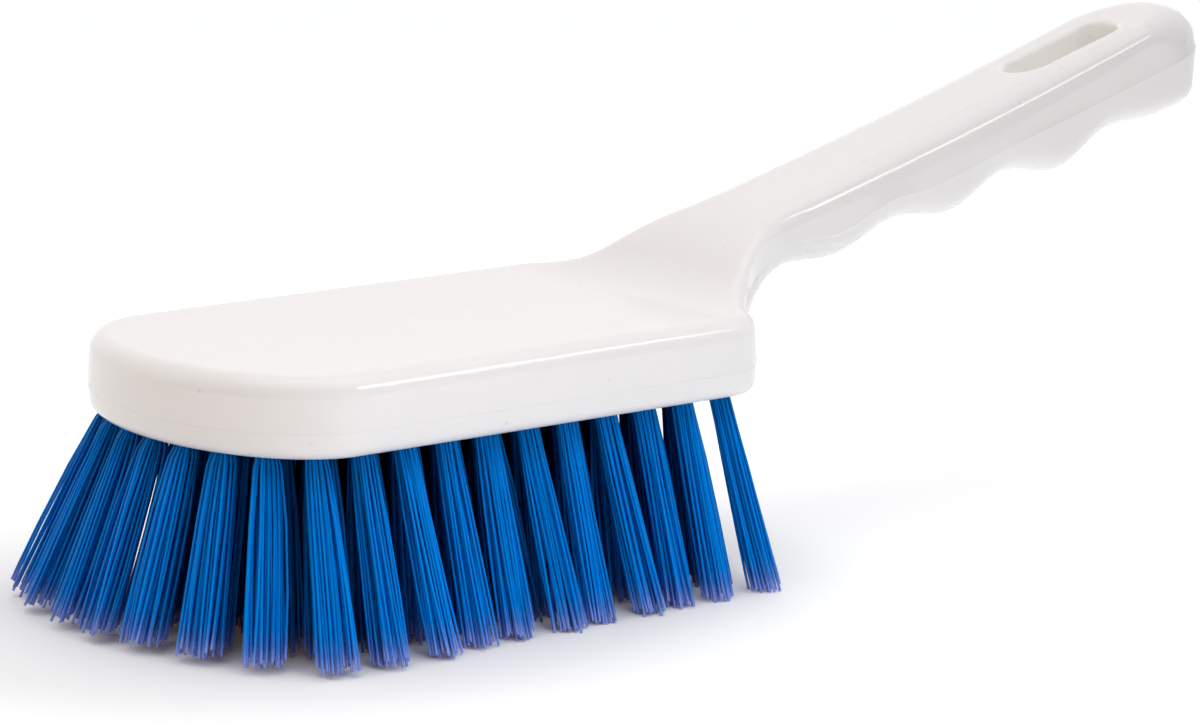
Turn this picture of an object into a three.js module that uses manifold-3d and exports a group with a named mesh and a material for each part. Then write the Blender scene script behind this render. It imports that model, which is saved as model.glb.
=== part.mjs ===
// Hand scrubbing brush: a one-piece moulded stock with a cranked finger grip, and tufts of bristle
// that are folded over flat steel anchors in blind drilled holes.
// Millimetres, +Z up, +X from the toe to the handle's end. The brush stands on its bristle tips at z = 0.

import * as THREE from 'three';
import { mergeVertices } from 'three/addons/utils/BufferGeometryUtils.js';
import Module from 'manifold-3d';

const wasm = await Module();
wasm.setup();

const degrees = THREE.MathUtils.degToRad;

// Block
const blockWidth = 78;
const blockThickness = 14.8;
const toeDepth = 23.3; // depth of the half-elliptic toe
const sideLength = 108; // toe tip to the end of the straight sides
const heelRadius = 9.7;
const heelTurn = degrees(67); // how far the heel corner turns before it sweeps into the neck
const blockTopEdge = 4; // edge roundings
const blockBottomEdge = 2.5;

// Neck: the upper surface rises in a hollow curve and rolls over into the straight handle
const riseStart = 107.3; // from the toe tip
const riseRadius = 28.5;
const riseAngle = degrees(35.4);
const crestRadius = 67.4;
const handleAngle = degrees(16.25);
const neckRoot = 122.9; // where the neck leaves the underside
const archRadius = 29.4; // hollow under the neck
const neckDepth = 11.4; // thickness of the neck, square to the handle

// Handle
const handleWidth = 26;
const handleRun = 119; // from the end of the crest to the handle's end
const endDepth = 18.7; // depth of the blunt rounded end
const endFullness = 0.6; // below 1 is squarer than a half-ellipse
const handleTopEdge = 4;
const handleBottomEdge = 4.5;
const endTopEdge = 12; // the upper edge grows rounder towards the handle's end
const endBottomEdge = 4;
const endLean = 5.8; // how far the end's foot stands back, which sets the end upright
const gripPitch = 30.2; // finger grooves along the underside
const gripRises = [2.4, 3.4, 4.1, 1.6]; // groove floor to crest, finger by finger
const gripTaper = 0.063; // how fast the handle deepens towards its end

// Hanging slot
const slotLength = 29;
const slotWidth = 10;
const slotLip = 1.6;
const slotEndGap = 19; // from the slot to the handle's end

// Tufts
const bristleHeight = 36; // underside to bristle tips
const tuftDiameter = 4;
const tuftInset = 4.7; // tuft ring to the block's outline
const heelRow = 107.4; // last row of tufts, from the toe tip
const ringCount = 29; // tufts in the ring round the toe and the sides
const innerRows = 9; // rows of tufts between the two sides of the ring
const toeMargin = 6; // inner rows to the ring round the toe
const plugDepth = 9.6; // how deep the folded tufts sit in the block
const toeFlare = 21; // how far the tips lean out, from their roots
const toeFlareReach = 62;
const toeLift = 3; // the leaning toe tips end a little higher
const sideFlare = 10.5;
const heelFlare = 3;
const heelFlareReach = 40;

// Bristle strands
const strandsPerTuft = 3;
const strandSides = 3;
const strandRadius = 0.8;
const strandTipRadius = 0.75;
const strandRootSpread = 1.1;
const strandTipSpread = 2.2;
const tipRagged = 1.2; // how far the shortest strands stop above the longest

// Backing slices, which carry the strands, in a tray in the block's underside
const trayDepth = 2;
const trayRim = 2.2; // tray to the block's outline
const heelMargin = 4.6; // tray's end past the last row
const sliceNames = ['tufts_toe', 'tufts_fore', 'tufts_mid', 'tufts_heel'];
const sliceColumns = 3; // tuft columns on each slice behind the toe
const columnGap = 0.5; // from a column of one row to the next one of its neighbour, in ring pitches

// Anchors
const anchorLength = 5;
const anchorHeight = 2;
const anchorThickness = 0.5;
const foldThickness = 1; // bristle between the anchor and the end of the hole
const looseAnchors = 55; // the rest are one with the folded root of their tuft

const clearance = 0.3;
const cutterOvershoot = 1;

// Facets
const toeSteps = 10;
const heelSteps = 6;
const sweepSteps = 4;
const rootSteps = 3;
const archSteps = 8;
const gripSteps = 30;
const endSteps = 8;
const topEdgeSteps = 4;
const bottomEdgeSteps = 3;
const tuftSides = 5;
const slotSides = 20;
const bedSegments = 20;

// Worked out from the sizes above
const halfWidth = blockWidth / 2;
const handleHalf = handleWidth / 2;
const underside = bristleHeight;
const blockTop = underside + blockThickness;
const plugRadius = tuftDiameter / 2;
const holeRadius = plugRadius + clearance;
const plugTop = underside + plugDepth;
const anchorMiddle = plugTop - foldThickness - clearance - anchorHeight / 2;

// Outline of the stock seen from above: the heel corner turns in and the neck's hollow side turns back.
const neckRadius = (halfWidth - handleHalf) / (1 - Math.cos(heelTurn)) - heelRadius;
const heelEnd = sideLength + heelRadius * Math.sin(heelTurn);
const neckEnd = heelEnd + neckRadius * Math.sin(heelTurn);

// Upper surface seen from the side.
const riseEnd = riseStart + riseRadius * Math.sin(riseAngle);
const riseTop = blockTop + riseRadius * (1 - Math.cos(riseAngle));
const crestEnd = riseEnd + crestRadius * (Math.sin(riseAngle) - Math.sin(handleAngle));
const crestTop = riseTop + crestRadius * (Math.cos(handleAngle) - Math.cos(riseAngle));

// Along the handle: distances from the end of the crest, on the straight upper line.
const along = { x: Math.cos(handleAngle), z: Math.sin(handleAngle) };
const endStart = handleRun - endDepth;

// Underside of the neck: one arc from the block's underside, which runs flush into the handle's.
const rootDistance = (neckRoot - crestEnd) * along.x + (underside - crestTop) * along.z;
const rootDepth = (crestTop - underside) * along.x + (neckRoot - crestEnd) * along.z;
const archDrop = neckDepth + archRadius - rootDepth;
const archLead = Math.sqrt(archRadius ** 2 - archDrop ** 2);
const archMiddle = {
  x: neckRoot + archLead * along.x + archDrop * along.z,
  z: underside + archLead * along.z - archDrop * along.x,
};
const rootHeading = Math.acos((underside - archMiddle.z) / archRadius);
const gripStart = rootDistance + archLead;

function topAt(x) {
  if (x <= riseStart) {
    return blockTop;
  }
  if (x <= riseEnd) {
    const slope = Math.asin((x - riseStart) / riseRadius);
    return blockTop + riseRadius * (1 - Math.cos(slope));
  }
  if (x <= crestEnd) {
    const slope = Math.asin(Math.sin(riseAngle) - (x - riseEnd) / crestRadius);
    return riseTop + crestRadius * (Math.cos(slope) - Math.cos(riseAngle));
  }
  return crestTop + (x - crestEnd) * Math.tan(handleAngle);
}

function outlineAt(x) {
  if (x <= sideLength) {
    return { x, y: halfWidth, nx: 0, ny: 1 };
  }
  if (x <= heelEnd) {
    const turn = Math.asin((x - sideLength) / heelRadius);
    const y = halfWidth - heelRadius * (1 - Math.cos(turn));
    return { x, y, nx: Math.sin(turn), ny: Math.cos(turn) };
  }
  if (x <= neckEnd) {
    const turn = Math.asin((neckEnd - x) / neckRadius);
    const y = handleHalf + neckRadius * (1 - Math.cos(turn));
    return { x, y, nx: Math.sin(turn), ny: Math.cos(turn) };
  }
  return { x, y: handleHalf, nx: 0, ny: 1 };
}

// A point of the handle's wavy underside, at a distance along the handle. The last crest runs on level.
function gripAt(distance) {
  const run = distance - gripStart;
  const finger = Math.min(Math.max(run / gripPitch, 0), gripRises.length - 0.5);
  const rise = gripRises[Math.floor(finger)];
  const phase = 2 * Math.PI * finger;
  const depth = neckDepth + gripTaper * run + (rise / 2) * (1 - Math.cos(phase));
  const steepness = gripTaper + ((rise * Math.PI) / gripPitch) * Math.sin(phase);
  return {
    x: crestEnd + distance * along.x + depth * along.z,
    z: crestTop + distance * along.z - depth * along.x,
    heading: handleAngle - Math.atan(steepness),
  };
}

// A rounded end that closes an outline: its point and outward normal, from the tip to the widest place.
function roundedEnd(turn, depth, half, fullness) {
  const forward = Math.abs(Math.cos(turn));
  const sideways = Math.abs(Math.sin(turn));
  const normal = new THREE.Vector2(forward ** (2 - fullness) / depth, sideways ** (2 - fullness) / half);
  normal.normalize();
  return { reach: depth * forward ** fullness, y: half * sideways ** fullness, nx: normal.x, ny: normal.y };
}

// Evenly spaced values from one end to the other, both included.
function steps(from, to, count) {
  return Array.from({ length: count + 1 }, (_, i) => from + ((to - from) * i) / count);
}

// A station is one cross-section of the stock: its outline above and below, the underside there, the
// tilt of its wall and the two edge roundings. The underside depends on how far back the point lies.
function blockStation(outline) {
  return {
    top: outline,
    bottom: outline,
    under: (back) => ({ x: outline.x - back, z: underside, heading: 0 }),
    wallTilt: 0,
    topEdge: blockTopEdge,
    bottomEdge: blockBottomEdge,
  };
}

function neckStation(x, under, share) {
  return {
    top: outlineAt(x),
    bottom: { ...outlineAt(under.x), nx: 0, ny: 1 },
    under: () => under,
    wallTilt: handleAngle * share,
    topEdge: THREE.MathUtils.lerp(blockTopEdge, handleTopEdge, share),
    bottomEdge: THREE.MathUtils.lerp(blockBottomEdge, handleBottomEdge, share),
  };
}

function handleStation(distance, y, nx, ny) {
  const outline = { x: crestEnd + distance * along.x, y, nx: nx * along.x, ny };
  const endShare = Math.max(0, (distance - endStart) / endDepth);
  return {
    top: outline,
    bottom: { ...outline, nx },
    under: (back) => gripAt(distance - back - endLean * endShare),
    wallTilt: handleAngle * (1 - endShare),
    topEdge: THREE.MathUtils.lerp(handleTopEdge, endTopEdge, endShare),
    bottomEdge: THREE.MathUtils.lerp(handleBottomEdge, endBottomEdge, endShare),
  };
}

// The neck's underside: the rounded lower edge of the root, then the arch up to the grip.
function neckUnderside() {
  const setback = blockBottomEdge * Math.tan(rootHeading / 2);
  const edge = steps(0, rootHeading, rootSteps).map((heading) => ({
    x: neckRoot - setback + blockBottomEdge * Math.sin(heading),
    z: underside + blockBottomEdge * (1 - Math.cos(heading)),
    heading,
  }));
  const arch = steps(rootHeading, handleAngle, archSteps).map((heading) => ({
    x: archMiddle.x - archRadius * Math.sin(heading),
    z: archMiddle.z + archRadius * Math.cos(heading),
    heading,
  }));
  return [...edge, ...arch.slice(1)];
}

function toeStations() {
  return steps(0, Math.PI / 2, toeSteps).map((turn) => {
    const point = roundedEnd(turn, toeDepth, halfWidth, 1);
    return blockStation({ x: toeDepth - point.reach, y: point.y, nx: -point.nx, ny: point.ny });
  });
}

function neckStations() {
  const heelTurns = steps(0, heelTurn, heelSteps);
  const heel = heelTurns.map((turn) => blockStation(outlineAt(sideLength + heelRadius * Math.sin(turn))));
  const root = neckUnderside();
  const sweep = steps(heelEnd, root[0].x, sweepSteps).map((x) => blockStation(outlineAt(x)));
  const tops = steps(root[0].x, crestEnd + gripStart * along.x, root.length - 1);
  const neck = root.map((under, i) => neckStation(tops[i], under, i / (root.length - 1)));
  return [...heel, ...sweep.slice(1), ...neck.slice(1)];
}

function handleStations() {
  const grip = steps(gripStart, endStart, gripSteps);
  const straight = grip.map((distance) => handleStation(distance, handleHalf, 0, 1));
  const end = steps(Math.PI / 2, 0, endSteps).map((turn) => {
    const point = roundedEnd(turn, endDepth, handleHalf, endFullness);
    return handleStation(endStart + point.reach, point.y, point.nx, point.ny);
  });
  return [...straight.slice(1), ...end.slice(1)];
}

// The points of a station's left half, from the upper face over the rounded edges to the lower face.
function stationPoints({ top, bottom, under, wallTilt, topEdge, bottomEdge }) {
  const upper = steps(0, Math.PI / 2, topEdgeSteps).map((turn) => {
    const inset = topEdge * (1 - Math.sin(turn));
    const drop = topEdge * (1 - Math.cos(turn));
    const x = top.x - inset * top.nx;
    const z = topAt(x) - drop * Math.cos(wallTilt);
    return [x + drop * Math.sin(wallTilt), top.y - inset * top.ny, z];
  });
  const lower = steps(Math.PI / 2, 0, bottomEdgeSteps).map((turn) => {
    const inset = bottomEdge * (1 - Math.sin(turn));
    const lift = bottomEdge * (1 - Math.cos(turn));
    const { x, z, heading } = under(inset * bottom.nx);
    return [x - lift * Math.sin(heading), bottom.y - inset * bottom.ny, z + lift * Math.cos(heading)];
  });
  return [...upper, ...lower];
}

// A closed skin over half-sections that are mirrored about the middle plane.
function mirroredLoft(sections) {
  const size = sections[0].length;
  const positions = [];
  for (const side of [1, -1]) {
    for (const section of sections) {
      section.forEach(([x, y, z]) => positions.push(x, side * y, z));
    }
  }
  const left = (j, k) => j * size + k;
  const right = (j, k) => (sections.length + j) * size + k;
  const index = [];
  const quad = (a, b, c, d) => index.push(a, b, c, a, c, d);
  for (let j = 0; j + 1 < sections.length; j++) {
    for (let k = 0; k + 1 < size; k++) {
      quad(left(j, k), left(j + 1, k), left(j + 1, k + 1), left(j, k + 1));
      quad(right(j, k + 1), right(j + 1, k + 1), right(j + 1, k), right(j, k));
    }
    quad(right(j, 0), right(j + 1, 0), left(j + 1, 0), left(j, 0));
    quad(left(j, size - 1), left(j + 1, size - 1), right(j + 1, size - 1), right(j, size - 1));
  }
  const geometry = new THREE.BufferGeometry();
  geometry.setAttribute('position', new THREE.Float32BufferAttribute(positions, 3));
  geometry.setIndex(index);
  return geometry;
}

// Between three.js geometry and solids that can be joined and cut.
function solid(geometry) {
  const bare = new THREE.BufferGeometry();
  bare.setAttribute('position', geometry.getAttribute('position'));
  bare.setIndex(geometry.getIndex());
  const merged = mergeVertices(bare, 1e-4);
  const corners = merged.getIndex().array;
  const triangles = [];
  for (let i = 0; i < corners.length; i += 3) {
    const [a, b, c] = corners.slice(i, i + 3);
    if (a !== b && b !== c && c !== a) {
      triangles.push(a, b, c);
    }
  }
  const vertProperties = new Float32Array(merged.getAttribute('position').array);
  const triVerts = new Uint32Array(triangles);
  return new wasm.Manifold(new wasm.Mesh({ numProp: 3, vertProperties, triVerts }));
}

function join(solids) {
  return solids.reduce((whole, next) => whole.add(next));
}

function geometryOf(manifold) {
  const { vertProperties, triVerts } = manifold.getMesh();
  const geometry = new THREE.BufferGeometry();
  geometry.setAttribute('position', new THREE.BufferAttribute(vertProperties, 3));
  geometry.setIndex(new THREE.BufferAttribute(triVerts, 1));
  geometry.computeVertexNormals();
  return geometry;
}

function upright(radius, from, to, sides, { x, y }) {
  const cylinder = new THREE.CylinderGeometry(radius, radius, to - from, sides);
  return cylinder.rotateX(Math.PI / 2).translate(x, y, (from + to) / 2);
}

function boxAt(lengthX, lengthY, lengthZ, x, y, z) {
  return new THREE.BoxGeometry(lengthX, lengthY, lengthZ).translate(x, y, z);
}

// Where the tufts stand: a ring along the toe and the sides, and staggered rows inside it.
const ringHalf = halfWidth - tuftInset;
const ringToe = toeDepth - tuftInset;

function tuftRing() {
  const path = new THREE.CurvePath();
  const corner = (x, y) => new THREE.Vector2(x, y);
  path.add(new THREE.LineCurve(corner(heelRow, -ringHalf), corner(toeDepth, -ringHalf)));
  path.add(new THREE.EllipseCurve(toeDepth, 0, ringToe, ringHalf, -Math.PI / 2, -1.5 * Math.PI, true));
  path.add(new THREE.LineCurve(corner(toeDepth, ringHalf), corner(heelRow, ringHalf)));
  const places = path.getSpacedPoints(ringCount - 1);
  return { places, pitch: path.getLength() / (ringCount - 1) };
}

const { places: ringPlaces, pitch: ringPitch } = tuftRing();
const columnAt = (column) => heelRow - column * ringPitch;

function clearOfToe(x, y) {
  const forward = (toeDepth - x) / (ringToe - toeMargin);
  return forward <= 0 || Math.hypot(forward, y / (ringHalf - toeMargin)) <= 1;
}

function innerTufts() {
  const places = [];
  for (let row = 1; row <= innerRows; row++) {
    const y = ringHalf * ((2 * row) / (innerRows + 1) - 1);
    const stagger = (row % 2) * columnGap;
    for (let x = columnAt(stagger); clearOfToe(x, y); x -= ringPitch) {
      places.push(new THREE.Vector2(x, y));
    }
  }
  return places;
}

const tufts = [...ringPlaces, ...innerTufts()];

// Where a tuft's tips are, from its root: they lean out towards the toe, the sides and the heel.
function tipAt({ x, y }) {
  const toeShare = Math.max(0, 1 - x / toeFlareReach) ** 2;
  const heelShare = Math.max(0, 1 - (heelRow - x) / heelFlareReach) ** 2;
  const sideShare = (y * Math.abs(y)) / ringHalf ** 2;
  const lean = heelFlare * heelShare - toeFlare * toeShare;
  return new THREE.Vector3(x + lean, y + sideFlare * sideShare, toeLift * toeShare);
}

function strand(root, tip, turn) {
  const positions = [];
  for (const [end, radius] of [[root, strandRadius], [tip, strandTipRadius]]) {
    for (let i = 0; i < strandSides; i++) {
      const angle = turn + (2 * Math.PI * i) / strandSides;
      positions.push(end.x + radius * Math.cos(angle), end.y + radius * Math.sin(angle), end.z);
    }
  }
  const index = [];
  for (let i = 0; i < strandSides; i++) {
    const next = (i + 1) % strandSides;
    index.push(i, next + strandSides, next, i, i + strandSides, next + strandSides);
  }
  for (let i = 1; i + 1 < strandSides; i++) {
    index.push(0, i, i + 1, strandSides, strandSides + i + 1, strandSides + i);
  }
  const geometry = new THREE.BufferGeometry();
  geometry.setAttribute('position', new THREE.Float32BufferAttribute(positions, 3));
  geometry.setIndex(index);
  return geometry;
}

// The strands of one tuft, which spread towards their tips.
function tuftStrands(place, number) {
  const middle = new THREE.Vector3(place.x, place.y, underside + trayDepth / 2);
  return Array.from({ length: strandsPerTuft }, (_, i) => {
    const angle = (2 * Math.PI * i) / strandsPerTuft + number;
    const around = new THREE.Vector3(Math.cos(angle), Math.sin(angle), 0);
    const root = middle.clone().addScaledVector(around, strandRootSpread);
    const tip = tipAt(place).addScaledVector(around, strandTipSpread);
    const raggedShare = ((i + number) % strandsPerTuft) / strandsPerTuft;
    tip.z += tipRagged * raggedShare;
    return solid(strand(root, tip, angle));
  });
}

// The folded root of a tuft: a plug, with a window where a loose anchor crosses.
function tuftRoot(place, number) {
  const plug = solid(upright(plugRadius, underside + trayDepth / 2, plugTop, tuftSides, place));
  if (number >= looseAnchors) {
    return plug;
  }
  const window = boxAt(
    tuftDiameter + cutterOvershoot,
    anchorThickness + 2 * clearance,
    anchorHeight + 2 * clearance,
    place.x,
    place.y,
    anchorMiddle,
  );
  return plug.subtract(solid(window));
}

// The bed of the tufts: the block's outline drawn in by a margin, cut square behind the last row.
function bedOutline(margin) {
  const half = halfWidth - margin;
  const end = heelRow + heelMargin - (margin - trayRim);
  const outline = new THREE.Shape();
  outline.moveTo(end, -half);
  outline.lineTo(end, half);
  outline.lineTo(toeDepth, half);
  outline.absellipse(toeDepth, 0, toeDepth - margin, half, Math.PI / 2, 1.5 * Math.PI, false);
  outline.closePath();
  return outline;
}

function bed(margin, from, to) {
  const options = { depth: to - from, bevelEnabled: false, curveSegments: bedSegments };
  const slab = new THREE.ExtrudeGeometry(bedOutline(margin), options);
  return solid(slab.translate(0, 0, from));
}

// The slices meet between two columns of tufts.
const sliceEdges = [
  -toeDepth,
  ...[3, 2, 1].map((slice) => columnAt(sliceColumns * slice - columnGap / 2)),
  heelRow + 2 * heelMargin,
];

function backingSlice(number) {
  const from = sliceEdges[number] + clearance / 2;
  const to = sliceEdges[number + 1] - clearance / 2;
  const band = boxAt(to - from, 2 * blockWidth, 4 * trayDepth, (from + to) / 2, 0, underside);
  return bed(trayRim + clearance, underside, underside + trayDepth - clearance).intersect(solid(band));
}

function tuftSlice(number) {
  const inSlice = ({ x }) => x > sliceEdges[number] && x <= sliceEdges[number + 1];
  const pieces = [backingSlice(number)];
  tufts.forEach((place, i) => {
    if (inSlice(place)) {
      pieces.push(tuftRoot(place, i), ...tuftStrands(place, i));
    }
  });
  return geometryOf(join(pieces));
}

// A blind hole for a tuft, with the nicks that a loose anchor bites in the wall.
function tuftHole(place, number) {
  const drilled = upright(holeRadius, underside - cutterOvershoot, plugTop + clearance, tuftSides, place);
  if (number >= looseAnchors) {
    return solid(drilled);
  }
  const nick = boxAt(
    anchorLength + 2 * clearance,
    anchorThickness + 2 * clearance,
    anchorHeight + 2 * clearance,
    place.x,
    place.y,
    anchorMiddle,
  );
  return solid(drilled).add(solid(nick));
}

// The hanging slot's cutter: a straight-sided slot whose upper rim opens in a rounded lip.
function slotCutter() {
  const half = slotWidth / 2;
  const reach = 2 * handleWidth;
  const corner = (across, up) => new THREE.Vector2(across, up);
  const lip = steps(0, Math.PI / 2, topEdgeSteps).map((turn) =>
    corner(half + slotLip * (1 - Math.cos(turn)), slotLip * (Math.sin(turn) - 1)),
  );
  const wall = [corner(half, -reach), ...lip, corner(half + slotLip, cutterOvershoot)];
  const profile = [corner(0, -reach), ...wall, corner(0, cutterOvershoot)];
  const funnel = new THREE.LatheGeometry(profile, slotSides).rotateX(Math.PI / 2);
  const farWall = wall.toReversed().map(({ x, y }) => corner(-x, y));
  const section = new THREE.Shape([...wall, ...farWall]);
  const straight = slotLength - slotWidth;
  const channel = new THREE.ExtrudeGeometry(section, { depth: straight, bevelEnabled: false });
  channel.rotateX(Math.PI / 2).rotateZ(Math.PI / 2);
  const pieces = [funnel, funnel.clone().translate(straight, 0, 0), channel];
  const start = handleRun - slotEndGap - slotLength + half;
  const place = new THREE.Matrix4().makeRotationY(-handleAngle);
  place.setPosition(crestEnd + start * along.x, 0, crestTop + start * along.z);
  return join(pieces.map((piece) => solid(piece.applyMatrix4(place))));
}

function stock() {
  const stations = [...toeStations(), ...neckStations(), ...handleStations()];
  const body = solid(mirroredLoft(stations.map(stationPoints)));
  const tray = bed(trayRim, underside - cutterOvershoot, underside + trayDepth);
  const holes = join(tufts.map(tuftHole));
  return geometryOf(body.subtract(slotCutter()).subtract(tray).subtract(holes));
}

function anchor(place) {
  return boxAt(anchorLength, anchorThickness, anchorHeight, place.x, place.y, anchorMiddle);
}

function piece(name, geometry, colour, roughness, metalness) {
  const material = new THREE.MeshStandardMaterial({ color: colour, roughness, metalness });
  const mesh = new THREE.Mesh(geometry, material);
  mesh.name = name;
  return mesh;
}

const brush = new THREE.Group();
brush.add(piece('stock', stock(), 0xf1ede8, 0.25, 0));
sliceNames.forEach((name, i) => brush.add(piece(name, tuftSlice(i), 0x0b55b5, 0.45, 0)));
tufts.slice(0, looseAnchors).forEach((place, i) => {
  const name = `anchor_${String(i + 1).padStart(2, '0')}`;
  brush.add(piece(name, anchor(place), 0xb8babc, 0.35, 1));
});

// The origin is on the floor, under the middle of the brush.
const extent = new THREE.Box3().setFromObject(brush);
brush.position.x = -(extent.min.x + extent.max.x) / 2;

export default brush;
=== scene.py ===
import math

import bpy
import numpy as np
from mathutils import Matrix, Vector


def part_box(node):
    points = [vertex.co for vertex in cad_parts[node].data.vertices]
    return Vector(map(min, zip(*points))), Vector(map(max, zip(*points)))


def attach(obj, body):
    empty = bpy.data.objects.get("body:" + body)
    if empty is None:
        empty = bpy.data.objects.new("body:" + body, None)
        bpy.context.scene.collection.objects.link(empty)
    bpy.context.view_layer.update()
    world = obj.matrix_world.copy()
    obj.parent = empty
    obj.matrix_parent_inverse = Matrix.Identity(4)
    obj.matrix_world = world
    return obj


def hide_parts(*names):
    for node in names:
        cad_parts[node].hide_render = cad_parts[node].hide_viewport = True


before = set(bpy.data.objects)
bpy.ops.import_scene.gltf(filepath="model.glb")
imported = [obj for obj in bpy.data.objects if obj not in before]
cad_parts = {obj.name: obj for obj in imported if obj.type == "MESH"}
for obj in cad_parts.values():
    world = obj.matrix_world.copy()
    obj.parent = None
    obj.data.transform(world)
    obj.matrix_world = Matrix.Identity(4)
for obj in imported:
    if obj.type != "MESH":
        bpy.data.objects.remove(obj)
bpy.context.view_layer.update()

# Stock: block, cranked neck and finger-grip handle in one piece of white polypropylene.
# It is moulded in two halves, so its walls have draft and a faint parting line runs round them.
# The hanging slot is moulded in, and the blind tuft holes are drilled into the flat underside.
mm = 0.001
stock_low, stock_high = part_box("stock")

block_half = stock_high.y / mm
block_thickness = 14.8
toe_depth = 23.3
side_length = 108
heel_radius = 9.7
heel_turn = math.radians(67)
block_top_edge = 4
block_bottom_edge = 2.5

rise_start = 107.3
rise_radius = 28.5
rise_angle = math.radians(35.4)
crest_radius = 67.4
neck_root = 122.9
arch_radius = 29.4
neck_depth = 11.4
fold_tightness = 2

handle_angle = math.radians(16.25)
handle_half = 13
handle_run = 119
handle_top_edge = 4
handle_edge_swell = 2.2
handle_bottom_edge = 4.5
grip_pitch = 30.2
grip_rises = [2.4, 3.4, 4.1, 1.6]
grip_taper = 0.063

end_depth = 18.7
end_fullness = 0.6
end_top_edge = 9.5
end_bottom_edge = 4
end_lean = 5.8

draft = 0.3
parting_depth = 9.9
parting_limit = 0.9
parting_blend = 0.05
seam_half = 0.08
seam_rise = 0.07
seam_low_wall = 5.5
seam_full_wall = 8.2

top_edge_points = 9
bottom_edge_points = 7
face_points = 6
sole_points = 5
toe_sections = 41
side_sections = 29
heel_sections = 19
back_sections = 11
root_sections = 13
arch_sections = 33
handle_sections = 121
end_sections = 31
weld_gap = 0.0005

neck_radius = (block_half - handle_half) / (1 - math.cos(heel_turn)) - heel_radius
heel_end = side_length + heel_radius * math.sin(heel_turn)
neck_end = heel_end + neck_radius * math.sin(heel_turn)

rise_end = rise_start + rise_radius * math.sin(rise_angle)
rise_top = block_thickness + rise_radius * (1 - math.cos(rise_angle))
crest_end = rise_end + crest_radius * (math.sin(rise_angle) - math.sin(handle_angle))
crest_top = rise_top + crest_radius * (math.cos(handle_angle) - math.cos(rise_angle))
along_x = math.cos(handle_angle)
along_z = math.sin(handle_angle)
end_start = handle_run - end_depth

root_distance = (neck_root - crest_end) * along_x - crest_top * along_z
root_depth = crest_top * along_x + (neck_root - crest_end) * along_z
arch_drop = neck_depth + arch_radius - root_depth
arch_lead = math.sqrt(arch_radius**2 - arch_drop**2)
arch_x = neck_root + arch_lead * along_x + arch_drop * along_z
arch_z = arch_lead * along_z - arch_drop * along_x
root_heading = math.acos(-arch_z / arch_radius)
grip_start = root_distance + arch_lead


def on_stock(x, y, z):
    """A place given in millimetres from the toe's tip and the underside, in the frame."""
    return (stock_low.x + x * mm, y * mm, stock_low.z + z * mm)


def lerp(a, b, share):
    """The value a given share of the way from a to b."""
    return a + (b - a) * share


def top_at(x):
    """Height of the upper surface: flat block, hollow rise, rolled crest, straight handle."""
    if x <= rise_start:
        return block_thickness
    if x <= rise_end:
        slope = math.asin((x - rise_start) / rise_radius)
        return block_thickness + rise_radius * (1 - math.cos(slope))
    if x <= crest_end:
        slope = math.asin(math.sin(rise_angle) - (x - rise_end) / crest_radius)
        return rise_top + crest_radius * (math.cos(slope) - math.cos(rise_angle))
    return crest_top + (x - crest_end) * math.tan(handle_angle)


def outline_at(x):
    """The stock's outline from above, behind the toe, as (x, y, normal x, normal y)."""
    if x <= side_length:
        return (x, block_half, 0, 1)
    if x <= heel_end:
        turn = math.asin((x - side_length) / heel_radius)
        return (x, block_half - heel_radius * (1 - math.cos(turn)), math.sin(turn), math.cos(turn))
    if x <= neck_end:
        turn = math.asin((neck_end - x) / neck_radius)
        return (x, handle_half + neck_radius * (1 - math.cos(turn)), math.sin(turn), math.cos(turn))
    return (x, handle_half, 0, 1)


def grip_at(distance):
    """The wavy underside of the handle, as (x, z, heading). The last crest runs on level."""
    run = distance - grip_start
    finger = min(max(run / grip_pitch, 0), len(grip_rises) - 0.5)
    rise = grip_rises[int(finger)]
    phase = 2 * math.pi * finger
    depth = neck_depth + grip_taper * run + rise / 2 * (1 - math.cos(phase))
    steepness = grip_taper + rise * math.pi / grip_pitch * math.sin(phase)
    return (
        crest_end + distance * along_x + depth * along_z,
        crest_top + distance * along_z - depth * along_x,
        handle_angle - math.atan(steepness),
    )


def rounded_end(turn, depth, half, fullness):
    """A blunt end that closes an outline, as (reach, y, normal x, normal y)."""
    forward = abs(math.cos(turn))
    sideways = abs(math.sin(turn))
    normal = Vector((forward ** (2 - fullness) / depth, sideways ** (2 - fullness) / half)).normalized()
    return (depth * forward**fullness, half * sideways**fullness, normal.x, normal.y)


def parted_wall(wall_top, wall_foot, top, bottom, depth):
    """The wall between two edges, with draft both ways from a fine ridge along the parting line.

    The line keeps its depth, stays off the foot of a low wall and loses its ridge there.
    """
    height = (wall_top - wall_foot).length
    share = -parting_blend * np.logaddexp(-depth / height / parting_blend, -parting_limit / parting_blend)
    ridge = seam_rise * min(max((height - seam_low_wall) / (seam_full_wall - seam_low_wall), 0), 1)
    outward = Vector((lerp(top[2], bottom[2], share), lerp(top[3], bottom[3], share), 0))
    parting = wall_top.lerp(wall_foot, share) + draft * outward
    return [
        wall_top.lerp(parting, 0.5),
        parting + (wall_top - parting).normalized() * seam_half,
        parting + outward * ridge,
        parting + (wall_foot - parting).normalized() * seam_half,
        parting.lerp(wall_foot, 0.5),
    ]


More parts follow.
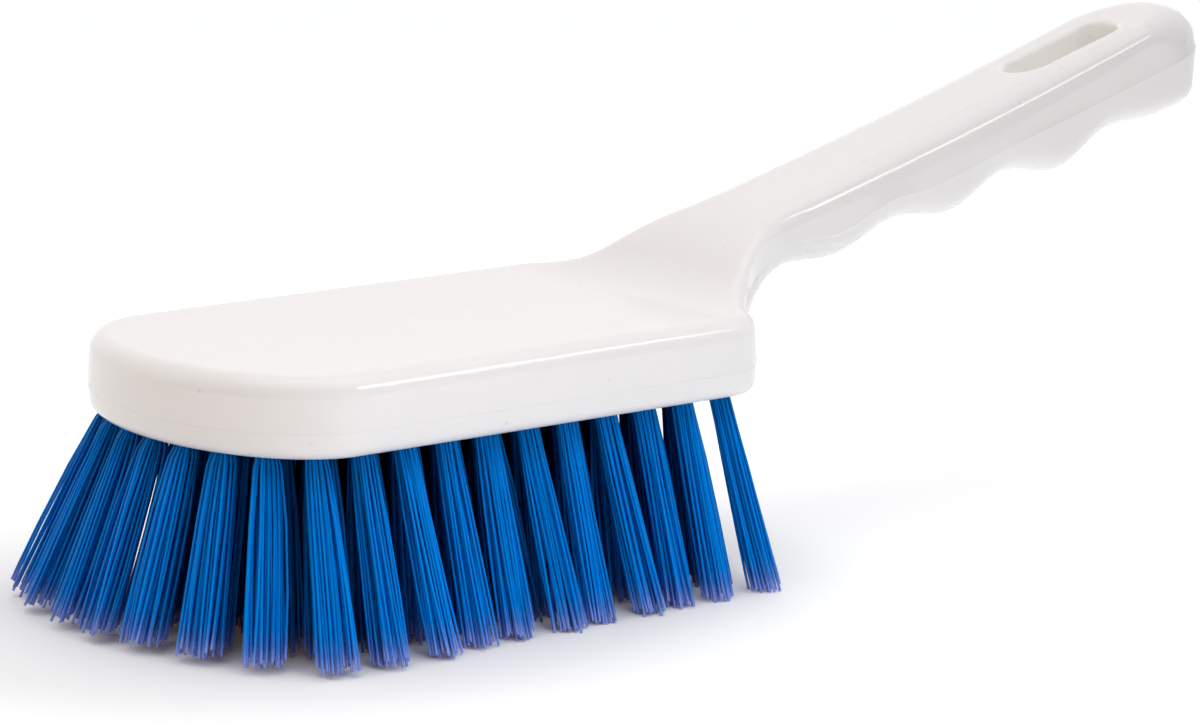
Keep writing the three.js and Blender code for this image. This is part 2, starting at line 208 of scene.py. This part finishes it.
def half_section(top, bottom, under, wall_tilt, top_edge, bottom_edge):
    """One half of a cross-section, from the middle of the upper face to the middle of the lower one."""
    top_x, top_y, top_nx, top_ny = top
    _, bottom_y, bottom_nx, bottom_ny = bottom
    upper = []
    for turn in np.linspace(0, math.pi / 2, top_edge_points):
        inset = top_edge * (1 - math.sin(turn)) + draft
        drop = top_edge * (1 - math.cos(turn))
        x = top_x - inset * top_nx
        z = top_at(x) - drop * math.cos(wall_tilt)
        upper.append((x + drop * math.sin(wall_tilt), top_y - inset * top_ny, z))
    lower = []
    for turn in np.linspace(math.pi / 2, 0, bottom_edge_points):
        inset = bottom_edge * (1 - math.sin(turn)) + draft
        lift = bottom_edge * (1 - math.cos(turn))
        x, z, heading = under(inset * bottom_nx)
        y = bottom_y - inset * bottom_ny
        lower.append((x - lift * math.sin(heading), y, z + lift * math.cos(heading)))
    wall = parted_wall(Vector(upper[-1]), Vector(lower[0]), top, bottom, parting_depth - top_edge)
    face_x, face_y, face_z = upper[0]
    sole_x, sole_y, sole_z = lower[-1]
    face = [(face_x, face_y * out, face_z) for out in np.linspace(0, 1, face_points)[:-1]]
    sole = [(sole_x, sole_y * out, sole_z) for out in np.linspace(1, 0, sole_points)[1:]]
    return [*face, *upper, *wall, *lower, *sole]


def block_section(outline):
    """A cross-section of the flat block, at one place of its outline."""
    return half_section(
        top=outline,
        bottom=outline,
        under=lambda back: (outline[0] - back, 0, 0),
        wall_tilt=0,
        top_edge=block_top_edge,
        bottom_edge=block_bottom_edge,
    )


def neck_section(x, under, share, top_edge):
    """A cross-section of the neck or the straight handle, from a place on top to one underneath."""
    x_below, y_below, _, _ = outline_at(under[0])
    return half_section(
        top=outline_at(x),
        bottom=(x_below, y_below, 0, 1),
        under=lambda back: under,
        wall_tilt=handle_angle * share,
        top_edge=top_edge,
        bottom_edge=lerp(block_bottom_edge, handle_bottom_edge, share),
    )


def end_section(distance, y, nx, ny):
    """A cross-section of the handle's blunt end, which is set back underneath."""
    x = crest_end + distance * along_x
    share = (distance - end_start) / end_depth
    return half_section(
        top=(x, y, nx * along_x, ny),
        bottom=(x, y, nx, ny),
        under=lambda back: grip_at(distance - back - end_lean * share),
        wall_tilt=handle_angle * (1 - share),
        top_edge=lerp(handle_top_edge, end_top_edge, share),
        bottom_edge=lerp(handle_bottom_edge, end_bottom_edge, share),
    )


sections = []
for turn in np.linspace(0, math.pi / 2, toe_sections):
    reach, y, nx, ny = rounded_end(turn, toe_depth, block_half, 1)
    sections.append(block_section((toe_depth - reach, y, -nx, ny)))
for x in np.linspace(toe_depth, side_length, side_sections)[1:]:
    sections.append(block_section(outline_at(x)))
for turn in np.linspace(0, heel_turn, heel_sections)[1:]:
    sections.append(block_section(outline_at(side_length + heel_radius * math.sin(turn))))

root_setback = block_bottom_edge * math.tan(root_heading / 2)
neck_line = []
for heading in np.linspace(0, root_heading, root_sections):
    x = neck_root - root_setback + block_bottom_edge * math.sin(heading)
    neck_line.append((x, block_bottom_edge * (1 - math.cos(heading)), heading))
for heading in np.linspace(root_heading, handle_angle, arch_sections)[1:]:
    x = arch_x - arch_radius * math.sin(heading)
    neck_line.append((x, arch_z + arch_radius * math.cos(heading), heading))
for x in np.linspace(heel_end, neck_line[0][0], back_sections)[1:]:
    sections.append(block_section(outline_at(x)))
neck_tops = np.linspace(neck_line[0][0], crest_end + grip_start * along_x, len(neck_line))
neck_shares = np.linspace(0, 1, len(neck_line))
for x, under, share in list(zip(neck_tops, neck_line, neck_shares))[1:]:
    top_edge = lerp(block_top_edge, handle_top_edge, share)
    top_edge -= fold_tightness * math.sin(math.pi * share)
    sections.append(neck_section(x, under, share, top_edge))

for distance in np.linspace(grip_start, end_start, handle_sections)[1:]:
    swell = math.sin(math.pi * (distance - grip_start) / (end_start - grip_start))
    top_edge = handle_top_edge + handle_edge_swell * swell
    sections.append(neck_section(crest_end + distance * along_x, grip_at(distance), 1, top_edge))
for turn in np.linspace(math.pi / 2, 0, end_sections)[1:]:
    reach, y, _, _ = rounded_end(turn, end_depth, handle_half, end_fullness)
    sections.append(end_section(end_start + reach, y, reach / end_depth, y / handle_half))


def skin(name, rings):
    """A sheet of quads wrapped round a row of closed rings, welded along its seam and closed at its ends."""
    columns = len(rings[0])
    bpy.ops.object.select_all(action="DESELECT")
    bpy.ops.mesh.primitive_grid_add(x_subdivisions=columns, y_subdivisions=len(rings) - 1, size=1)
    piece = bpy.context.object
    piece.name = name
    points = [ring[i % columns] for ring in rings for i in range(columns + 1)]
    piece.data.vertices.foreach_set("co", np.array(points, np.float32).ravel())
    bpy.ops.object.mode_set(mode="EDIT")
    bpy.ops.mesh.select_all(action="SELECT")
    bpy.ops.mesh.remove_doubles(threshold=weld_gap * mm)
    bpy.ops.mesh.fill_holes(sides=0)
    bpy.ops.mesh.select_all(action="SELECT")
    bpy.ops.mesh.normals_make_consistent(inside=False)
    bpy.ops.object.mode_set(mode="OBJECT")
    return piece


def full_ring(section):
    """A half cross-section and its mirror image, as one closed ring in the frame."""
    left = [on_stock(x, y, z) for x, y, z in section]
    right = [on_stock(x, -y, z) for x, y, z in section[-2:0:-1]]
    return left + right


stock = skin("moulded_stock", [full_ring(section) for section in sections])

slot_length = 29
slot_half = 5
slot_lip = 1.6
slot_end_gap = 19
slot_corners = 64
lip_rings = 9
cutter_reach = 50
cutter_headroom = 1
cutter_overshoot = 0.02
slot_straight = slot_length - 2 * slot_half
slot_middle = handle_run - slot_end_gap - slot_length / 2
half_corner = math.pi / slot_corners


def slot_ring(half, height):
    """A long round-ended ring, square to the handle, at a height above its upper face."""
    ring = []
    for turn in np.linspace(half_corner, 2 * math.pi + half_corner, slot_corners + 1)[:-1]:
        end = math.copysign(slot_straight / 2, math.cos(turn))
        distance = slot_middle + end + half * math.cos(turn)
        x = crest_end + distance * along_x - height * along_z
        z = crest_top + distance * along_z + height * along_x
        ring.append(on_stock(x, half * math.sin(turn), z))
    return ring


slot_rings = [slot_ring(slot_half, -cutter_reach)]
for turn in np.linspace(0, math.pi / 2, lip_rings):
    half = slot_half + slot_lip * (1 - math.cos(turn))
    slot_rings.append(slot_ring(half, slot_lip * (math.sin(turn) - 1) + cutter_overshoot))
slot_rings.append(slot_ring(slot_half + slot_lip, cutter_headroom))
slot_cutter = skin("slot_cutter", slot_rings)


def cut(piece, cutter):
    """Cuts one shape out of a piece and clears the cutter away."""
    bpy.ops.object.select_all(action="DESELECT")
    bpy.context.view_layer.objects.active = piece
    boolean = piece.modifiers.new("cut", "BOOLEAN")
    boolean.operation = "DIFFERENCE"
    boolean.solver = "EXACT"
    boolean.object = cutter
    bpy.ops.object.modifier_apply(modifier=boolean.name)
    bpy.data.objects.remove(cutter)


cut(stock, slot_cutter)

tuft_inset = 4.7
heel_row = 107.4
ring_count = 29
inner_rows = 9
row_stagger = 0.5
toe_margin = 6
hole_radius = 2.25
hole_depth = 9.9
hole_sides = 24
toe_arc_points = 2001
ring_half = block_half - tuft_inset
ring_toe = toe_depth - tuft_inset

turns = np.linspace(0, math.pi, toe_arc_points)
toe_arc = np.stack([toe_depth - ring_toe * np.sin(turns), -ring_half * np.cos(turns)], axis=1)
ring_path = np.vstack([[heel_row, -ring_half], toe_arc, [heel_row, ring_half]])
ring_run = np.concatenate([[0], np.cumsum(np.linalg.norm(np.diff(ring_path, axis=0), axis=1))])
ring_stops = np.linspace(0, ring_run[-1], ring_count)
tuft_places = [
    (float(np.interp(stop, ring_run, ring_path[:, 0])), float(np.interp(stop, ring_run, ring_path[:, 1])))
    for stop in ring_stops
]
tuft_pitch = ring_run[-1] / (ring_count - 1)


def clear_of_toe(x, y):
    """Whether a tuft of the inner rows keeps its distance from the ring round the toe."""
    forward = (toe_depth - x) / (ring_toe - toe_margin)
    return forward <= 0 or math.hypot(forward, y / (ring_half - toe_margin)) <= 1


for row in range(1, inner_rows + 1):
    y = ring_half * (2 * row / (inner_rows + 1) - 1)
    x = heel_row - (row % 2) * row_stagger * tuft_pitch
    while clear_of_toe(x, y):
        tuft_places.append((x, y))
        x -= tuft_pitch

hole_cutters = []
for x, y in tuft_places:
    bpy.ops.object.select_all(action="DESELECT")
    bpy.ops.mesh.primitive_cylinder_add(
        vertices=hole_sides,
        radius=hole_radius * mm,
        depth=2 * hole_depth * mm,
        location=on_stock(x, y, 0),
    )
    hole_cutters.append(bpy.context.object)
for cutter in hole_cutters:
    cutter.select_set(True)
bpy.ops.object.join()
cut(stock, bpy.context.object)

stock_crease = math.radians(40)
bpy.ops.object.select_all(action="DESELECT")
stock.select_set(True)
bpy.context.view_layer.objects.active = stock
bpy.ops.object.shade_smooth_by_angle(angle=stock_crease)
weighted = stock.modifiers.new("flat_faces", "WEIGHTED_NORMAL")
weighted.keep_sharp = True
weighted.weight = 80
bpy.ops.object.modifier_apply(modifier=weighted.name)

# The slot's walls and lip are marked so they can be drawn lighter: painted light, for the light the hollow
# gathers between its walls.
slot_place = Vector(on_stock(crest_end + slot_middle * along_x, 0, crest_top + slot_middle * along_z))
slot_shares = []
for vertex in stock.data.vertices:
    away = (vertex.co - slot_place) / mm
    past_straight = max(abs(away.x * along_x + away.z * along_z) - slot_straight / 2, 0)
    outside = math.hypot(past_straight, away.y) - slot_half
    slot_shares.append(min(max(1 - outside / slot_lip, 0), 1))
stock.data.attributes.new("in_slot", "FLOAT", "POINT").data.foreach_set("value", slot_shares)


def new_material(name):
    """A new material, with its node tree and its shader."""
    material = bpy.data.materials.new(name)
    material.use_nodes = True
    tree = material.node_tree
    return material, tree, tree.nodes["Principled BSDF"]


def add_node(tree, kind, inputs=None, **settings):
    """A new node with its settings. Each input is a value to set or a socket to link."""
    node = tree.nodes.new(kind)
    for key, value in settings.items():
        setattr(node, key, value)
    for key, value in (inputs or {}).items():
        if isinstance(value, bpy.types.NodeSocket):
            tree.links.new(value, node.inputs[key])
        else:
            node.inputs[key].default_value = value
    return node


def colour_ramp(tree, value, stops):
    """The colour that a ramp gives a value. Each stop is a place from 0 to 1 and its colour."""
    ramp = add_node(tree, "ShaderNodeValToRGB", {"Fac": value})
    while len(ramp.color_ramp.elements) < len(stops):
        ramp.color_ramp.elements.new(0.5)
    for element, (place, colour) in zip(ramp.color_ramp.elements, stops):
        element.position = place
        element.color = (*colour, 1)
    return ramp.outputs["Color"]


white_clouded = (0.835, 0.812, 0.80)
white_clear = (0.845, 0.824, 0.813)
# The near-white of the slot's inside is painted light, not a cleaner plastic.
slot_painted_light = (0.985, 0.965, 0.94)
cloud_scale = 28
speck_grey = (0.9, 0.9, 0.9)
speck_none = (1, 1, 1)
speck_scale = 150
speck_core = 0.04
speck_rim = 0.08
haze_scale = 170
noise_low = 0.3
noise_high = 0.7
gloss_clear = 0.07
gloss_hazy = 0.12
sink_scale = 60
sink_strength = 0.05
sink_depth = 0.6
glow_depth = 4
first_colour = 6
second_colour = 7
mixed_colour = 2

plastic, tree, shader = new_material("white_polypropylene")
place = add_node(tree, "ShaderNodeTexCoord").outputs["Object"]
clouding = add_node(tree, "ShaderNodeTexNoise", {"Vector": place, "Scale": cloud_scale, "Detail": 3})
flow = colour_ramp(
    tree,
    clouding.outputs["Fac"],
    [(noise_low, white_clouded), (noise_high, white_clear)],
)
# Inside the slot the plastic is drawn near-white: painted light, for the light that bounces round the
# hollow.
in_slot = add_node(tree, "ShaderNodeAttribute", attribute_name="in_slot").outputs["Fac"]
slot_lit_colour = add_node(
    tree,
    "ShaderNodeMix",
    {"Factor": in_slot, first_colour: flow, second_colour: (*slot_painted_light, 1)},
    data_type="RGBA",
)
specks = add_node(tree, "ShaderNodeTexVoronoi", {"Vector": place, "Scale": speck_scale})
speckled = colour_ramp(
    tree,
    specks.outputs["Distance"],
    [(speck_core, speck_grey), (speck_rim, speck_none)],
)
worn = add_node(
    tree,
    "ShaderNodeVectorMath",
    {0: slot_lit_colour.outputs[mixed_colour], 1: speckled},
    operation="MULTIPLY",
)
tree.links.new(worn.outputs["Vector"], shader.inputs["Base Color"])
haze = add_node(tree, "ShaderNodeTexNoise", {"Vector": place, "Scale": haze_scale, "Detail": 4})
gloss = add_node(
    tree,
    "ShaderNodeMapRange",
    {
        "Value": haze.outputs["Fac"],
        "From Min": noise_low,
        "From Max": noise_high,
        "To Min": gloss_clear,
        "To Max": gloss_hazy,
    },
)
tree.links.new(gloss.outputs["Result"], shader.inputs["Roughness"])
waviness = add_node(tree, "ShaderNodeTexNoise", {"Vector": place, "Scale": sink_scale, "Detail": 2})
sinks = add_node(
    tree,
    "ShaderNodeBump",
    {"Height": waviness.outputs["Fac"], "Strength": sink_strength, "Distance": sink_depth * mm},
)
tree.links.new(sinks.outputs["Normal"], shader.inputs["Normal"])
shader.inputs["IOR"].default_value = 1.49
shader.inputs["Subsurface Weight"].default_value = 0.2
shader.inputs["Subsurface Radius"].default_value = (1, 0.9, 0.8)
shader.inputs["Subsurface Scale"].default_value = glow_depth * mm
stock.data.materials.clear()
stock.data.materials.append(plastic)

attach(stock, "root")
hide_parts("stock")

# Anchors: short flat strips cut from steel wire, one in the fold of each tuft.
# They are driven in with the tuft and bite the wall of its hole, so only the tufts show.
steel_dark = (0.42, 0.43, 0.44)
steel_light = (0.56, 0.57, 0.58)
roll_marks = (400, 6000, 6000)
strip_burr = 0.06

steel, tree, shader = new_material("anchor_strip_steel")
place = add_node(tree, "ShaderNodeTexCoord").outputs["Object"]
rolled = add_node(tree, "ShaderNodeMapping", {"Vector": place, "Scale": roll_marks})
streaks = add_node(tree, "ShaderNodeTexNoise", {"Vector": rolled.outputs["Vector"], "Scale": 1, "Detail": 3})
grey = colour_ramp(tree, streaks.outputs["Fac"], [(noise_low, steel_dark), (noise_high, steel_light)])
tree.links.new(grey, shader.inputs["Base Color"])
polish = add_node(
    tree,
    "ShaderNodeMapRange",
    {"Value": streaks.outputs["Fac"], "To Min": 0.28, "To Max": 0.45},
)
tree.links.new(polish.outputs["Result"], shader.inputs["Roughness"])
shader.inputs["Metallic"].default_value = 1

loose_anchors = [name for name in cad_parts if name.startswith("anchor_")]
for name in loose_anchors:
    for material_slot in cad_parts[name].material_slots:
        material_slot.material = steel

strip_low, strip_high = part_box(loose_anchors[0])
strip_size = strip_high - strip_low
strip_middle = (strip_low.z + strip_high.z) / 2
bpy.ops.object.select_all(action="DESELECT")
bpy.ops.mesh.primitive_cube_add(size=1, scale=strip_size)
strip = bpy.context.object
bpy.ops.object.transform_apply(location=True, rotation=True, scale=True)
bpy.ops.object.mode_set(mode="EDIT")
bpy.ops.mesh.select_all(action="SELECT")
bpy.ops.mesh.bevel(offset=strip_burr * mm, segments=1)
bpy.ops.object.mode_set(mode="OBJECT")
strip.data.materials.append(steel)
for number, (x, y) in enumerate(tuft_places[len(loose_anchors):], len(loose_anchors) + 1):
    anchor = bpy.data.objects.new(f"anchor_strip_{number}", strip.data.copy())
    bpy.context.scene.collection.objects.link(anchor)
    strip_x, strip_y, _ = on_stock(x, y, 0)
    anchor.data.transform(Matrix.Translation((strip_x, strip_y, strip_middle)))
    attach(anchor, "root")
bpy.data.objects.remove(strip)

# Bristles: stiff blue polyester filaments, about half a millimetre thick, cut to one length.
# Each tuft is a bundle folded double over its anchor, packed tight in its hole and open at the tips.
# Towards the toe, the sides and the heel the tufts lean out.
bristle_height = stock_low.z / mm
filament_radius = 0.25
filament_sides = 6
filament_crease = math.radians(65)
mouth_share = 0.2
filament_joints = (mouth_share, 0.25, 0.47, 0.74, 0.93)
root_depth_in_hole = 8.6
anchor_gap = 0.3
packed_radius = 1.95

outer_filaments = 46
outer_opening = 2.85
outer_splay = 1
outer_dye = (0.35, 1)
# The inner tufts are drawn darker than the outer ones: painted shade, for the shade deep among the tufts,
# over each filament's random dye.
inner_filaments = 62
inner_opening = 4.4
inner_splay = 0.5
inner_dye_and_shade = (0, 0.5)
toe_opening = 4.4
toe_splay = 0.2

near_toe_flare = 10.5
far_toe_flare = 18.4
toe_flare_reach = 62
toe_lift = 1.8
corner_flare = 8
side_flare = 10.5
heel_flare = 3
heel_flare_reach = 40

tuft_wander = 0.6
tip_wander = 0.45
tip_ragged = 1.7
bow = 0.25
golden_turn = math.pi * (3 - math.sqrt(5))
seed = 7

bundle_columns = (8.75, 5.75, 2.75)
# Along each filament the blue is deep at the block's underside and pales to lavender at the tips: partly the
# cut ends' own look, partly painted light from the white table shining through them.
blues_to_tip = [
    (0.0, (0.0, 0.14, 0.47)),
    (0.2, (0.0, 0.21, 0.70)),
    (0.84, (0.0, 0.23, 0.76)),
    (0.92, (0.05, 0.22, 0.7)),
    (1.0, (0.27, 0.34, 0.78)),
]
# Between these two a filament's blue is scaled by its random dye, and further darkened in the inner tufts as
# painted shade.
darkest_dye_and_shade = 0.6
dye_strong = 1.15
sheen_tint = (0.05, 0.5, 1)

bpy.ops.object.select_all(action="DESELECT")
bpy.ops.mesh.primitive_cylinder_add(
    vertices=filament_sides,
    radius=filament_radius * mm,
    depth=1,
    location=(0, 0, 0.5),
)
filament = bpy.context.object
filament.name = "one_filament"
bpy.ops.object.transform_apply(location=True, rotation=True, scale=True)
bpy.ops.object.mode_set(mode="EDIT")
for share in filament_joints:
    bpy.ops.mesh.select_all(action="SELECT")
    bpy.ops.mesh.bisect(plane_co=(0, 0, share), plane_no=(0, 0, 1))
bpy.ops.object.mode_set(mode="OBJECT")
filament_points = np.array([vertex.co for vertex in filament.data.vertices])
filament_faces = [list(face.vertices) for face in filament.data.polygons]
bpy.data.objects.remove(filament)

inside = np.clip(filament_points[:, 2:3] / mouth_share, 0, 1)
outside = np.clip((filament_points[:, 2:3] - mouth_share) / (1 - mouth_share), 0, 1)


def toe_share_at(x):
    """How much a tuft belongs to the toe: all at the toe's tip, nothing past the flare's reach."""
    return max(0, 1 - x / toe_flare_reach) ** 2


def tip_of(x, y):
    """Where the middle of a tuft's tips stands, from its root."""
    toe_share = toe_share_at(x)
    heel_share = max(0, 1 - (heel_row - x) / heel_flare_reach) ** 2
    side_share = y / ring_half
    toe_flare = lerp(near_toe_flare, far_toe_flare, (side_share + 1) / 2)
    lean = heel_flare * heel_share - toe_flare * toe_share
    spread = side_flare * side_share * abs(side_share) + corner_flare * side_share * toe_share
    return np.array([x + lean, y + spread, toe_lift * toe_share - bristle_height])


def swept_filament(root, mouth, tip, opened, splay, bend):
    """The points of one filament: straight in its hole, then opening and bowing out to its tip."""
    line = root + (mouth - root) * inside + (tip - mouth) * outside
    line += opened * outside**splay
    line[:, :2] += bend * 4 * outside * (1 - outside)
    heading = (tip - mouth) / np.linalg.norm(tip - mouth)
    sideways = np.cross(heading, [0, 1, 0])
    sideways /= np.linalg.norm(sideways)
    upwards = np.cross(heading, sideways)
    line = line + filament_points[:, 0:1] / mm * sideways + filament_points[:, 1:2] / mm * upwards
    line[:, 2] = np.maximum(line[:, 2], -bristle_height)
    return line


def tuft_filaments(x, y, filament_count, opening, splay, dye_and_shade, draws):
    """The points of every filament of one tuft, with how far along each point is and how dark its filament
    is drawn: its random dye and, in the inner tufts, painted shade.
    """
    points = []
    alongs = []
    shades = []
    tip_middle = tip_of(x, y)
    tip_middle[:2] += draws.normal(0, tuft_wander, 2)
    start = draws.uniform(0, 2 * math.pi)
    for number in range(filament_count):
        turn = start + number * golden_turn
        out = math.sqrt((number + 0.5) / filament_count)
        across = np.array([math.cos(turn), math.sin(turn), 0]) * out
        mouth = np.array([x, y, 0]) + across * packed_radius
        root = mouth + np.array([0, math.copysign(anchor_gap, across[1]), root_depth_in_hole])
        tip = tip_middle + across * packed_radius
        tip[:2] += draws.normal(0, tip_wander, 2)
        tip[2] += tip_ragged * draws.uniform() ** 2
        bend = draws.normal(0, bow, 2)
        points.append(swept_filament(root, mouth, tip, across * (opening - packed_radius), splay, bend))
        alongs.append(outside[:, 0])
        shades.append(np.full(len(filament_points), draws.uniform(*dye_and_shade)))
    return np.vstack(points), np.concatenate(alongs), np.concatenate(shades)


blue, tree, shader = new_material("blue_filament")
along = add_node(tree, "ShaderNodeAttribute", attribute_name="along").outputs["Fac"]
shade = add_node(tree, "ShaderNodeAttribute", attribute_name="shade").outputs["Fac"]
length_colour = colour_ramp(tree, along, blues_to_tip)
# Each filament's blue is scaled by its random dye, and the inner tufts are darker as painted shade.
strength = add_node(tree, "ShaderNodeMapRange", {"Value": shade, "To Min": darkest_dye_and_shade, "To Max": dye_strong})
filament_colour = add_node(
    tree,
    "ShaderNodeVectorMath",
    {0: length_colour, 1: strength.outputs["Result"]},
    operation="MULTIPLY",
)
tree.links.new(filament_colour.outputs["Vector"], shader.inputs["Base Color"])
sheen_range = add_node(tree, "ShaderNodeMapRange", {"Value": shade, "To Min": 0.3, "To Max": 0.42})
tree.links.new(sheen_range.outputs["Result"], shader.inputs["Roughness"])
shader.inputs["Specular IOR Level"].default_value = 0.2
shader.inputs["Specular Tint"].default_value = (*sheen_tint, 1)

bundle_edges = [heel_row - tuft_pitch * column for column in bundle_columns]
draws = np.random.default_rng(seed)
bundles = {"toe": [], "fore": [], "mid": [], "heel": []}
for number, (x, y) in enumerate(tuft_places):
    toe_share = toe_share_at(x)
    if number < ring_count:
        opening = lerp(outer_opening, toe_opening, toe_share)
        splay = lerp(outer_splay, toe_splay, toe_share)
        tuft = tuft_filaments(x, y, outer_filaments, opening, splay, outer_dye, draws)
    else:
        splay = lerp(inner_splay, toe_splay, toe_share)
        tuft = tuft_filaments(x, y, inner_filaments, inner_opening, splay, inner_dye_and_shade, draws)
    bundle = list(bundles)[sum(x > edge for edge in bundle_edges)]
    bundles[bundle].append(tuft)

for bundle, tufts in bundles.items():
    points = np.vstack([tuft[0] for tuft in tufts])
    faces = []
    for first in range(0, len(points), len(filament_points)):
        faces.extend([[first + corner for corner in face] for face in filament_faces])
    mesh = bpy.data.meshes.new(f"bristles_{bundle}")
    mesh.from_pydata([on_stock(*point) for point in points], [], faces)
    for name, column in (("along", 1), ("shade", 2)):
        values = np.concatenate([tuft[column] for tuft in tufts]).astype(np.float32)
        mesh.attributes.new(name, "FLOAT", "POINT").data.foreach_set("value", values)
    bristles = bpy.data.objects.new(f"bristles_{bundle}", mesh)
    bpy.context.scene.collection.objects.link(bristles)
    bpy.ops.object.select_all(action="DESELECT")
    bristles.select_set(True)
    bpy.context.view_layer.objects.active = bristles
    bpy.ops.object.shade_smooth_by_angle(angle=filament_crease)
    bristles.data.materials.append(blue)
    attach(bristles, "root")
    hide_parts(f"tufts_{bundle}")

# Floor: the plain white table of the studio, which the brush stands on by its bristle tips.
# Its glow is painted light: least under the block and more and more away from the brush, so the table blows
# out white far off and stays darker round the brush as painted shade.
floor_size = 8
floor_white = (0.9, 0.9, 0.9)
glow_shift = (1.37, 0, 0)
glow_scale = (16.1, 18.2, 0)
glow_from = 1.15
glow_full = 6
glow_round_share = 0.134
glow_near = (0.03, 0.02, 0.015)
glow_round = (0.18, 0.18, 0.18)
glow_far = (0.22, 0.22, 0.22)

bpy.ops.object.select_all(action="DESELECT")
bpy.ops.mesh.primitive_plane_add(size=floor_size, location=(0, 0, 0))
floor = bpy.context.object
floor.name = "table"
white, tree, shader = new_material("white_table")
shader.inputs["Base Color"].default_value = (*floor_white, 1)
shader.inputs["Roughness"].default_value = 0.8
place = add_node(tree, "ShaderNodeTexCoord").outputs["Object"]
around = add_node(
    tree,
    "ShaderNodeMapping",
    {"Vector": place, "Location": glow_shift, "Scale": glow_scale},
)
away = add_node(tree, "ShaderNodeVectorMath", {0: around.outputs["Vector"]}, operation="LENGTH")
brighter = add_node(
    tree,
    "ShaderNodeMapRange",
    {"Value": away.outputs["Value"], "From Min": glow_from, "From Max": glow_full},
)
glow = colour_ramp(
    tree,
    brighter.outputs["Result"],
    [(0, glow_near), (glow_round_share, glow_round), (1, glow_far)],
)
tree.links.new(glow, shader.inputs["Emission Color"])
shader.inputs["Emission Strength"].default_value = 1
floor.data.materials.append(white)

# Light: a white room that is bright behind and to the right of the brush, with a soft panel overhead.
# Soft boxes fill the near side, the toe and the block's top.
# A small box and a long narrow one show only in the gloss, as the glints along the edges.
bright_side = Vector((0.38, 0.74, 0.55)).normalized()
dark_until = -0.09
bright_from = 0.41
room_dark = (0, 0, 0)
room_bright = (0.98, 0.95, 0.945)
panel_from = 0.8
panel_to = 0.9
panel_white = (0.61, 0.73, 0.81)

world = bpy.data.worlds.new("white_room")
bpy.context.scene.world = world
world.use_nodes = True
tree = world.node_tree
direction = add_node(tree, "ShaderNodeTexCoord").outputs["Generated"]
towards = add_node(tree, "ShaderNodeVectorMath", {0: direction, 1: bright_side}, operation="DOT_PRODUCT")
brightening = add_node(
    tree,
    "ShaderNodeMapRange",
    {"Value": towards.outputs["Value"], "From Min": dark_until, "From Max": bright_from},
)
walls = colour_ramp(tree, brightening.outputs["Result"], [(0, room_dark), (1, room_bright)])
upwards = add_node(tree, "ShaderNodeSeparateXYZ", {"Vector": direction})
overhead = add_node(
    tree,
    "ShaderNodeMapRange",
    {"Value": upwards.outputs["Z"], "From Min": panel_from, "From Max": panel_to},
)
panel = colour_ramp(tree, overhead.outputs["Result"], [(0, room_dark), (1, panel_white)])
room = add_node(tree, "ShaderNodeVectorMath", {0: walls, 1: panel}, operation="ADD")
tree.links.new(room.outputs["Vector"], tree.nodes["Background"].inputs["Color"])


def soft_box(name, place, aim, along, size, power, colour, mirrored=False):
    """A rectangular lamp that faces a place. A mirrored one only shows in the gloss, the others never."""
    lamp = bpy.data.lights.new(name, "AREA")
    lamp.shape = "RECTANGLE"
    lamp.size, lamp.size_y = size
    lamp.energy = power
    lamp.color = colour
    box = bpy.data.objects.new(name, lamp)
    back = (Vector(place) - Vector(aim)).normalized()
    across = Vector(along).cross(back).normalized()
    turned = Matrix((across, back.cross(across), back)).transposed().to_4x4()
    box.matrix_world = Matrix.Translation(place) @ turned
    box.visible_glossy = mirrored
    box.visible_diffuse = not mirrored
    bpy.context.scene.collection.objects.link(box)


soft_box(
    "near_side_box",
    place=(-0.09, -0.3, 0.1),
    aim=(-0.06, -0.03, 0.05),
    along=(0, 0, 1),
    size=(0.15, 0.15),
    power=0.27,
    colour=(0.9, 0.94, 1),
)
soft_box(
    "front_box",
    place=(0.05, -0.55, 0.6),
    aim=(0.03, 0, 0.06),
    along=(0, 0, 1),
    size=(0.35, 0.35),
    power=0.2,
    colour=(1, 0.98, 0.95),
)
soft_box(
    "toe_box",
    place=(-0.6, -0.2, 0.3),
    aim=(-0.1, 0, 0.04),
    along=(0, 0, 1),
    size=(0.3, 0.3),
    power=0.36,
    colour=(1, 0.55, 0.17),
)
soft_box(
    "block_box",
    place=(-0.05, -0.05, 0.4),
    aim=(-0.05, 0, 0.05),
    along=(1, 0, 0),
    size=(0.25, 0.25),
    power=0.165,
    colour=(1, 0.95, 0.9),
)
soft_box(
    "corner_box",
    place=(0.33, -0.54, 0.5),
    aim=(-0.096, -0.038, 0.048),
    along=(0, 0, 1),
    size=(0.1, 0.16),
    power=0.35,
    colour=(1, 1, 1),
    mirrored=True,
)
soft_box(
    "edge_strip",
    place=(0.486, -0.582, 0.644),
    aim=(-0.05, -0.04, 0.05),
    along=(0.46, 0.8, 0.39),
    size=(0.06, 0.44),
    power=0.6,
    colour=(1, 1, 1),
    mirrored=True,
)

# Camera: at the height and the side that the brush is looked at from, with a long lens.
# Its place is measured in millimetres from the toe's tip and the underside, as on the stock.
camera_from_toe = (-404.805, -664.198, 168.710)
camera_pitch = 90 - 11.3133
camera_turn = -37.5314
camera_data = bpy.data.cameras.new("camera")
camera_data.lens = 132
camera_data.sensor_width = 36
camera = bpy.data.objects.new("camera", camera_data)
camera.location = on_stock(*camera_from_toe)
camera.rotation_euler = (math.radians(camera_pitch), 0, math.radians(camera_turn))
bpy.context.scene.collection.objects.link(camera)
bpy.context.scene.camera = camera
bpy.context.scene.view_settings.view_transform = "Standard"
